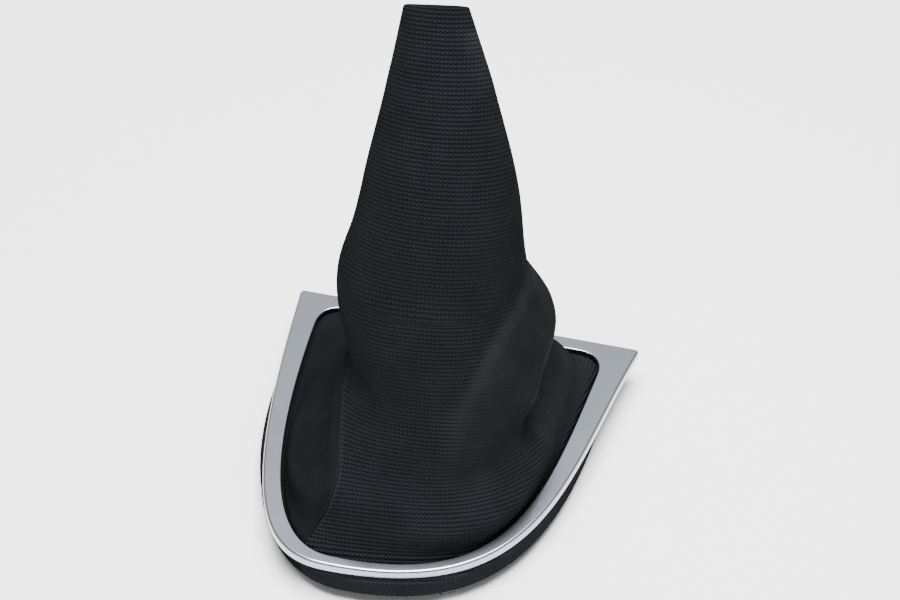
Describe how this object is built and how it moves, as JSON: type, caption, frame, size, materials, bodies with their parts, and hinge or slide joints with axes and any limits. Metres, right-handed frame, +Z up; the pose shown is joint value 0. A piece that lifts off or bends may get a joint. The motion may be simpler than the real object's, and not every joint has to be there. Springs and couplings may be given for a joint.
{
  "type": "gear lever gaiter",
  "caption": "Leaning leatherette gear lever gaiter with a narrow open mouth, folds above its base, and a satin surround with a straight far edge and a rounded near end.",
  "frame": {"origin": "middle of the footprint, level with the tips of the snap legs", "axes": "+Z up; +Y towards the surround's straight far edge; +X to the right of someone who looks from the rounded near end"},
  "size_m": [0.1691, 0.1671, 0.2404],
  "materials": {
    "satin_silver": "satin silver lacquer on a moulding",
    "black_plastic": "fine spark-eroded texture",
    "embossed_leatherette": "embossed with a fine square lattice of pips",
    "plain_leatherette": "smooth with a fine grain"
  },
  "bodies": {
    "root": {"surround": "satin_silver", "carrier_ring": "black_plastic", "main_panel": "embossed_leatherette", "side_panel": "plain_leatherette"}
  },
  "joints": []
}
